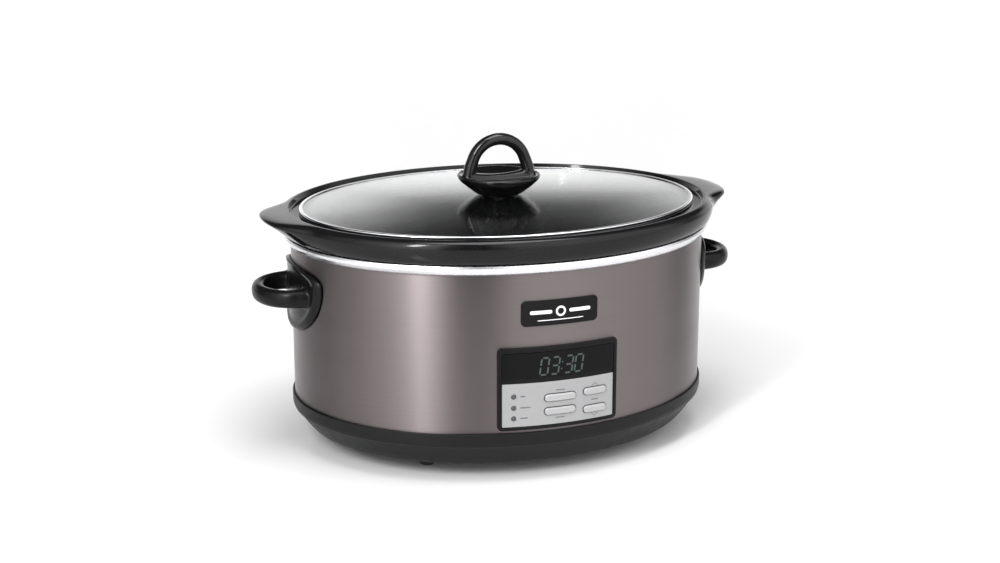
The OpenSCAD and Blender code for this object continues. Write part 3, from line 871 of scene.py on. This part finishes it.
LOOP_CENTRE = Vector((190, 0, 142.5))
LOOP_INSET = 1.2
LOOP_HALF_WIDTH = 38
LOOP_BAR = 12.0
LOOP_TALL = 15.6
LOOP_STEPS = 72
LOOP_END = 118
LOOP_LEG_SHARE = 0.9
LOOP_LEG_SPREAD = 16
FLARE_FROM = 62


def handle_loop():
    """A flat-sided bar bent into a half oval, whose legs flare into the plate."""
    reach = loop_high.x - LOOP_INSET - LOOP_CENTRE.x
    a, b = reach - LOOP_BAR / 2, LOOP_HALF_WIDTH - LOOP_BAR / 2
    path = []
    for k in range(LOOP_STEPS + 1):
        turn = math.radians(-LOOP_END + 2 * LOOP_END * k / LOOP_STEPS)
        x, y = a * math.cos(turn), b * math.sin(turn)
        if math.cos(turn) < 0:
            # past the widest point the legs flare and run straight into the plate
            x = a * math.cos(turn) * LOOP_LEG_SHARE
            y = math.copysign(b + LOOP_LEG_SPREAD * (1 - math.sin(abs(turn))), y)
        normal = Vector((math.cos(turn) * b, math.sin(turn) * a, 0)).normalized()
        if math.cos(turn) < 0:
            normal = Vector((0, math.copysign(1, y), 0))
        path.append((LOOP_CENTRE + Vector((x, y, 0)), normal, Vector((0, 0, 1))))

    def section(i):
        turn = abs(-LOOP_END + 2 * LOOP_END * i / LOOP_STEPS)
        flare = max(0, (turn - FLARE_FROM) / (LOOP_END - FLARE_FROM))
        half_w = LOOP_BAR * (1 + 0.45 * flare ** 1.5) / 2
        half_h = LOOP_TALL * (1 + 0.12 * flare ** 2) / 2
        power = 2 / 2.35
        loop = []
        for k in range(36):
            c, u = math.cos(2 * math.pi * k / 36), math.sin(2 * math.pi * k / 36)
            loop.append((half_w * math.copysign(abs(c) ** power, c),
                         half_h * math.copysign(abs(u) ** power, u)))
        return loop

    return sweep("loop", path, section)


def side_handles():
    """The right handle and its mirror image on the left."""
    meshes = [handle_plate(), handle_loop()]
    piece = melt("loop_handle_right", meshes, 0.8, 12, MATERIALS["satin_black"], HANDLE_SHARP)
    twin_mesh = piece.data.copy()
    twin_mesh.transform(Matrix.Scale(-1, 4, (1, 0, 0)))
    twin_mesh.flip_normals()
    place(piece, "cooker_base", "satin_black", "side_handle_right")
    twin = new_object("loop_handle_left", twin_mesh, MATERIALS["satin_black"], HANDLE_SHARP)
    place(twin, "cooker_base", "satin_black", "side_handle_left")


# ---------------------------------------------------------------- control panel

KEYS = ("key_select", "key_power", "key_up", "key_down")
KEY_BODIES = ("select_key", "power_key", "up_key", "down_key")
KEY_HEIGHT = 6.2
KEY_FLANGE = 0.8
LAMP_X = (lamps_low.x + lamps_high.x) / 2
LAMP_R = 2
LAMP_Z = [lamps_low.z + LAMP_R, (lamps_low.z + lamps_high.z) / 2 - 0.3, lamps_high.z - LAMP_R]

# back and face off the steel, and rounding, of each layer of the front
FRAME_DEPTHS = (0.12, 2.5, 0.75)
BACKING_DEPTHS = (0.3, 1.3, 0.1)
WINDOW_DEPTHS = (1.32, 2.1, 0.35)
FILM_DEPTHS = (1.32, 2.0, 0.18)
CAP_DEPTHS = (1.2, 3.7, 1.2)
LENS_DEPTHS = (0.2, 2.6, 0.8)
PRINT_DEPTHS = (1.9, 2.06, 0.02)
DIGIT_DEPTHS = (2.0, 2.14, 0.02)
BADGE_DEPTHS = (0.06, 1.55, 0.5)
INLAY_DEPTHS = (1.45, 1.6, 0.03)


def key_place(node):
    """Middle and length of a key's cap."""
    low, high = span(node)
    return (low.x + high.x) / 2, (low.z + high.z) / 2, high.x - low.x - 2 * KEY_FLANGE


def panel_holes(grow):
    """Holes for the key caps, that much larger all round, and for the lamps."""
    holes = []
    for node in KEYS:
        x, z, length = key_place(node)
        holes.append(pill(length, KEY_HEIGHT, x, z, grow)[::-1])
    for z in LAMP_Z:
        holes.append(disc(LAMP_R + 0.2, LAMP_X, z)[::-1])
    return holes


def front_rect(low, high, rounding, grow=0.0, steps=6):
    """A rounded rectangle as wide and tall as a box seen from the front."""
    wide, tall = high.x - low.x + 2 * grow, high.z - low.z + 2 * grow
    return rounded_rect(wide, tall, rounding, 0, (low.z + high.z) / 2, steps)


def control_panel():
    """A frame round a window and a silver film, with key caps and lamps that stand through it."""
    inner_low = Vector((window_low.x, 0, fascia_low.z))
    frame_outlines = [front_rect(bezel_low, bezel_high, 4, 0, 8),
                      front_rect(inner_low, window_high, 2.4, 0.25)[::-1]]
    backing = [front_rect(inner_low, window_high, 2.6, 1.0)] + panel_holes(0.55)
    window = [front_rect(window_low, window_high, 1.5)]
    film = [front_rect(fascia_low, fascia_high, 0.5)] + panel_holes(0.5)
    for name, outlines, depths, slot, node in (
            ("panel_frame", frame_outlines, FRAME_DEPTHS, "gloss_black", "panel_bezel"),
            ("panel_backing", backing, BACKING_DEPTHS, "gloss_black", "panel_bezel"),
            ("window", window, WINDOW_DEPTHS, "smoked_window", "display_window"),
            ("silver_film", film, FILM_DEPTHS, "silver_fascia", "panel_fascia")):
        place(front_plate(name, outlines, depths, MATERIALS[slot]), "cooker_base", slot, node)
    for node, body in zip(KEYS, KEY_BODIES):
        x, z, length = key_place(node)
        outline = pill(length, KEY_HEIGHT, x, z)
        cap = front_plate(node.replace("key", "cap"), [outline], CAP_DEPTHS, MATERIALS["silver_key"])
        place(cap, body, "silver_key", node)
    for k, z in enumerate(LAMP_Z):
        outline = disc(LAMP_R, LAMP_X, z)
        lens = front_plate(f"lamp_{k}", [outline], LENS_DEPTHS, MATERIALS["lamp"], step=1.0)
        place(lens, "cooker_base", "lamp", "indicator_lights")


def stroke(x0, z0, x1, z1, half):
    """A straight stroke with square ends between two points."""
    along = Vector((x1 - x0, z1 - z0)).normalized()
    side = Vector((-along.y, along.x)) * half
    a, b = Vector((x0, z0)), Vector((x1, z1))
    return [tuple(a - side), tuple(b - side), tuple(b + side), tuple(a + side)]


def panel_marks():
    """Plain printed marks: arrows at the time keys and short bars where captions would be."""
    print_material = moulded("panel_print", (0.10, 0.10, 0.105), 0.5, 900, 0.00002, 0.1)
    shapes = []
    up_x, up_z, _ = key_place("key_up")
    down_x, down_z, _ = key_place("key_down")
    off = KEY_HEIGHT / 2 + 1.1
    for x, z, way in ((up_x, up_z + off, 1), (down_x, down_z - off, -1)):
        shapes.append([(x - 3.2, z), (x - 2.5, z), (x, z + way * 2.3),
                       (x + 2.5, z), (x + 3.2, z), (x, z + way * 3.0)])
    for k, z in enumerate(LAMP_Z):
        shapes.append(stroke(LAMP_X + 5.5, z, LAMP_X + 9.5 + 2.2 * ((k + 1) % 3), z, 0.5))
    select_x, select_z, _ = key_place("key_select")
    power_x, power_z, _ = key_place("key_power")
    for x, z, reach in ((select_x, select_z + 6.1, 4), (power_x, power_z - 6.1, 4),
                        (up_x, (up_z + down_z) / 2, 3.2)):
        shapes.append(stroke(x - reach, z, x + reach, z, 0.45))
    for k, shape in enumerate(shapes):
        mark = front_plate(f"panel_mark_{k}", [shape], PRINT_DEPTHS, print_material)
        place(mark, "cooker_base", "silver_fascia")


SEGMENTS = {"0": "abcdef", "3": "abcdg"}
DIGIT_STARTS = {-17.2: "0", -7.9: "3", 4.0: "3", 13.2: "0"}
DIGIT_LOW, DIGIT_HIGH = 92.8, 107.2
DIGIT_WIDE = 6.6
DIGIT_SLANT = 0.14
SEGMENT_HALF = 0.72


def digits():
    """A clock reading in slanted seven-segment figures."""
    low, high = DIGIT_LOW, DIGIT_HIGH
    tall, mid = high - low, (low + high) / 2
    shapes = []

    def lean(points):
        return [(x + DIGIT_SLANT * (z - mid), z) for x, z in points]

    for x, figure in DIGIT_STARTS.items():
        far = x + DIGIT_WIDE
        left, right = x + 1.1, far - 1.1
        ends = {
            "a": (left, high, right, high), "g": (left, mid, right, mid), "d": (left, low, right, low),
            "f": (x, mid + 0.9, x, high - 0.9), "b": (far, mid + 0.9, far, high - 0.9),
            "e": (x, low + 0.9, x, mid - 0.9), "c": (far, low + 0.9, far, mid - 0.9)}
        for letter in SEGMENTS[figure]:
            shapes.append(lean(stroke(*ends[letter], SEGMENT_HALF)))
    for z in (mid - tall * 0.22, mid + tall * 0.18):
        shapes.append(lean(rounded_rect(1.2, 1.2, 0.3, 1.35, z, 3)))
    for k, shape in enumerate(shapes):
        bar = front_plate(f"digit_bar_{k}", [shape], DIGIT_DEPTHS, MATERIALS["display"])
        place(bar, "cooker_base", "display")


def badge():
    """A black plate with a ring between two bars over a thin rule."""
    mid = (badge_low.z + badge_high.z) / 2
    line = mid + 0.8
    outline = front_rect(badge_low, badge_high, 4, 0, 8)
    plate = front_plate("badge_plate", [outline], BADGE_DEPTHS, MATERIALS["gloss_black"])
    place(plate, "cooker_base", "gloss_black", "front_badge")
    inlay = silver_film("badge_inlay", (0.85, 0.85, 0.86), 0.35)
    shapes = [
        [rounded_rect(19, 3.0, 1.4, -17.0, line)], [rounded_rect(19, 3.0, 1.4, 17.0, line)],
        [disc(4.4, 0, line, 40), disc(2.7, 0, line, 40)[::-1]],
        [rounded_rect(40, 0.7, 0.3, 0, mid - 6.2)]]
    for k, outlines in enumerate(shapes):
        mark = front_plate(f"badge_mark_{k}", outlines, INLAY_DEPTHS, inlay)
        place(mark, "cooker_base", "gloss_black")


def lead_entry():
    """A moulded bush through the rear wall, turned about its own axis and laid flat."""
    bore = 3.4
    outer = (gland_high.x - gland_low.x) / 2
    length = gland_high.y - gland_low.y
    outline = fillet([(bore, 0, 0.2), (6, 0, 0.4), (6, 2, 0.2), (7.6, 2.4, 0.4),
                      (7.6, length - 3.6, 0.2), (6.1, length - 3.4, 0.2), (6.1, length - 2.6, 0),
                      (outer, length - 2.6, 0.3), (outer, length - 0.8, 0.8), (6.6, length, 0.4),
                      (4.6, length, 0.5), (bore, length - 1.0, 0.3)], 4)
    piece = lathe("lead_entry", outline, MATERIALS["matt_black"], 1, 96)
    piece.data.transform(Matrix.Rotation(math.radians(-90), 4, "X"))
    centre = Vector((0, gland_low.y, (gland_low.z + gland_high.z) / 2)) * MM
    piece.data.transform(Matrix.Translation(centre))
    place(piece, "cooker_base", "matt_black", "cord_gland")


# ---------------------------------------------------------------- stage

FLOOR_HALF = 6.0
AIM_HEIGHT = 0.12


def towards(azimuth, elevation):
    """A direction from the object, by azimuth (0 in front) and elevation in degrees."""
    a, e = math.radians(azimuth), math.radians(elevation)
    return Vector((math.sin(a) * math.cos(e), -math.cos(a) * math.cos(e), math.sin(e)))


def floor():
    """A wide sheet of pale paper."""
    corners = [(x * FLOOR_HALF, y * FLOOR_HALF, 0) for x, y in ((-1, -1), (1, -1), (1, 1), (-1, 1))]
    mesh = bpy.data.meshes.new("floor")
    mesh.from_pydata(corners, [], [[0, 1, 2, 3]])
    paint = Paint("floor_paper", (0.74, 0.74, 0.742), roughness=0.14)
    fine = paint.noise(40, detail=2)
    paint.tint(fine, (0.737, 0.737, 0.74), (0.743, 0.743, 0.745))
    new_object("floor", mesh, paint.material)


def softbox(name, azimuth, elevation, distance, width, height, radiance):
    """A rectangular soft light that faces the object, with sides and distance in metres."""
    light = bpy.data.lights.new(name, "AREA")
    light.shape = "RECTANGLE"
    light.size, light.size_y = width, height
    light.energy = radiance * math.pi * width * height
    lamp = bpy.data.objects.new(name, light)
    out = towards(azimuth, elevation)
    lamp.location = Vector((0, 0, AIM_HEIGHT)) + out * distance
    lamp.rotation_euler = out.to_track_quat("Z", "Y").to_euler()
    bpy.context.scene.collection.objects.link(lamp)


# brightness of the studio walls by azimuth in degrees, 0 in front of the object, and by height
FRONT_WALLS = ((-180, 0.0), (-118, 0.0), (-88, 0.20), (-66, 0.46), (-54, 0.78), (-46, 0.86),
               (-37, 0.78), (-28, 0.10), (-22, 0.0), (-12, 0.0), (-7, 0.14), (4, 0.46), (24, 0.50),
               (44, 0.42), (74, 0.33), (98, 0.05), (120, 0.0), (180, 0.0))
FRONT_HEIGHTS = ((-90, 0.8), (0, 0.80), (12, 0.85), (24, 0.98), (34, 1.0), (60, 1.0), (74, 0.35),
                 (90, 0.30))
REAR_WALLS = ((-180, 0.85), (-160, 0.45), (-135, 0.10), (-105, 0.0), (88, 0.0), (112, 0.2),
              (135, 0.8), (160, 1.0), (180, 0.85))
REAR_HEIGHTS = ((-90, 1.0), (0, 1.0), (7, 0.92), (10.5, 0.72), (13, 0.32), (16, 0.06), (18, 0.0),
                (50, 0.0), (90, 0.0))
CORNER_WALLS = ((-180, 1.0), (-150, 0.6), (-125, 0.0), (100, 0.0), (118, 0.8), (140, 1.0),
                (151, 0.9), (157, 0.1), (162, 0.1), (168, 1.0), (180, 1.0))
CORNER_HEIGHTS = ((-90, 1.0), (0, 1.0), (13, 0.9), (17, 0.5), (22, 0.0), (90, 0.0))
WALL_LIGHT = 4.8
REAR_LIGHT = 1.45
AIR_LIGHT = 0.02


def studio_walls():
    """A room of soft light: a strip to the left, a broad wall to the right, a low pale wall behind."""
    world = bpy.data.worlds.new("studio_air")
    bpy.context.scene.world = world
    world.use_nodes = True
    tree = world.node_tree
    shine = tree.nodes["Background"]

    def node(kind, **values):
        made = tree.nodes.new(kind)
        for key, value in values.items():
            setattr(made, key, value)
        return made

    def math_node(operation, first, second=None):
        made = node("ShaderNodeMath", operation=operation)
        for socket, value in zip(made.inputs, (first, second)):
            if isinstance(value, (int, float)):
                socket.default_value = value
            elif value is not None:
                tree.links.new(value, socket)
        return made.outputs[0]

    def profile(angle, low, high, stops):
        above = math_node("SUBTRACT", angle, math.radians(low))
        share = math_node("DIVIDE", above, math.radians(high - low))
        ramp = node("ShaderNodeValToRGB")
        ramp.color_ramp.interpolation = "EASE"
        while len(ramp.color_ramp.elements) < len(stops):
            ramp.color_ramp.elements.new(1.0)
        for element, (degrees, value) in zip(ramp.color_ramp.elements, stops):
            element.position = (degrees - low) / (high - low)
            element.color = (value, value, value, 1)
        tree.links.new(share, ramp.inputs["Fac"])
        return ramp.outputs["Color"]

    where = node("ShaderNodeTexCoord")
    axes = node("ShaderNodeSeparateXYZ")
    tree.links.new(where.outputs["Generated"], axes.inputs[0])
    azimuth = math_node("ARCTAN2", axes.outputs["X"], math_node("MULTIPLY", axes.outputs["Y"], -1.0))
    height = math_node("ARCSINE", axes.outputs["Z"])

    def wall(by_azimuth, by_height):
        across = profile(azimuth, -180, 180, by_azimuth)
        return math_node("MULTIPLY", across, profile(height, -90, 90, by_height))

    front = wall(FRONT_WALLS, FRONT_HEIGHTS)
    rear = wall(REAR_WALLS, REAR_HEIGHTS)
    corner = wall(CORNER_WALLS, CORNER_HEIGHTS)
    behind = math_node("MULTIPLY", math_node("MAXIMUM", rear, corner), REAR_LIGHT)
    total = math_node("ADD", math_node("MULTIPLY", front, WALL_LIGHT), behind)
    tree.links.new(math_node("ADD", total, AIR_LIGHT), shine.inputs["Strength"])
    shine.inputs["Color"].default_value = (1, 1, 1, 1)


def studio():
    """The walls, a narrow key light and a broad one overhead."""
    studio_walls()
    softbox("key_left", -47, 38, 2.2, 0.18, 1.0, 40)
    softbox("overhead", 30, 84, 2.4, 1.6, 1.2, 7.5)


def camera():
    """The view from the front left, slightly above."""
    azimuth, elevation, distance, focal = -19.65, 15.33, 1.5525, 62.27
    aim_side, aim_height = 0.00116, 0.1319
    a = math.radians(azimuth)
    back = towards(azimuth, elevation)
    right = Vector((math.cos(a), math.sin(a), 0))
    data = bpy.data.cameras.new("camera")
    data.lens, data.sensor_width = focal, 36
    data.clip_end = 50
    cam = bpy.data.objects.new("camera", data)
    cam.location = right * aim_side + Vector((0, 0, aim_height)) + back * distance
    cam.rotation_euler = back.to_track_quat("Z", "Y").to_euler()
    bpy.context.scene.collection.objects.link(cam)
    bpy.context.scene.camera = cam


camera()
studio()
floor()
steel_wrap()
rim_ring()
moulded_base()
well_liner()
feet()
crock()
lid()
lid_knob()
side_handles()
control_panel()
panel_marks()
digits()
badge()
lead_entry()
bpy.context.scene.view_settings.view_transform = "Standard"
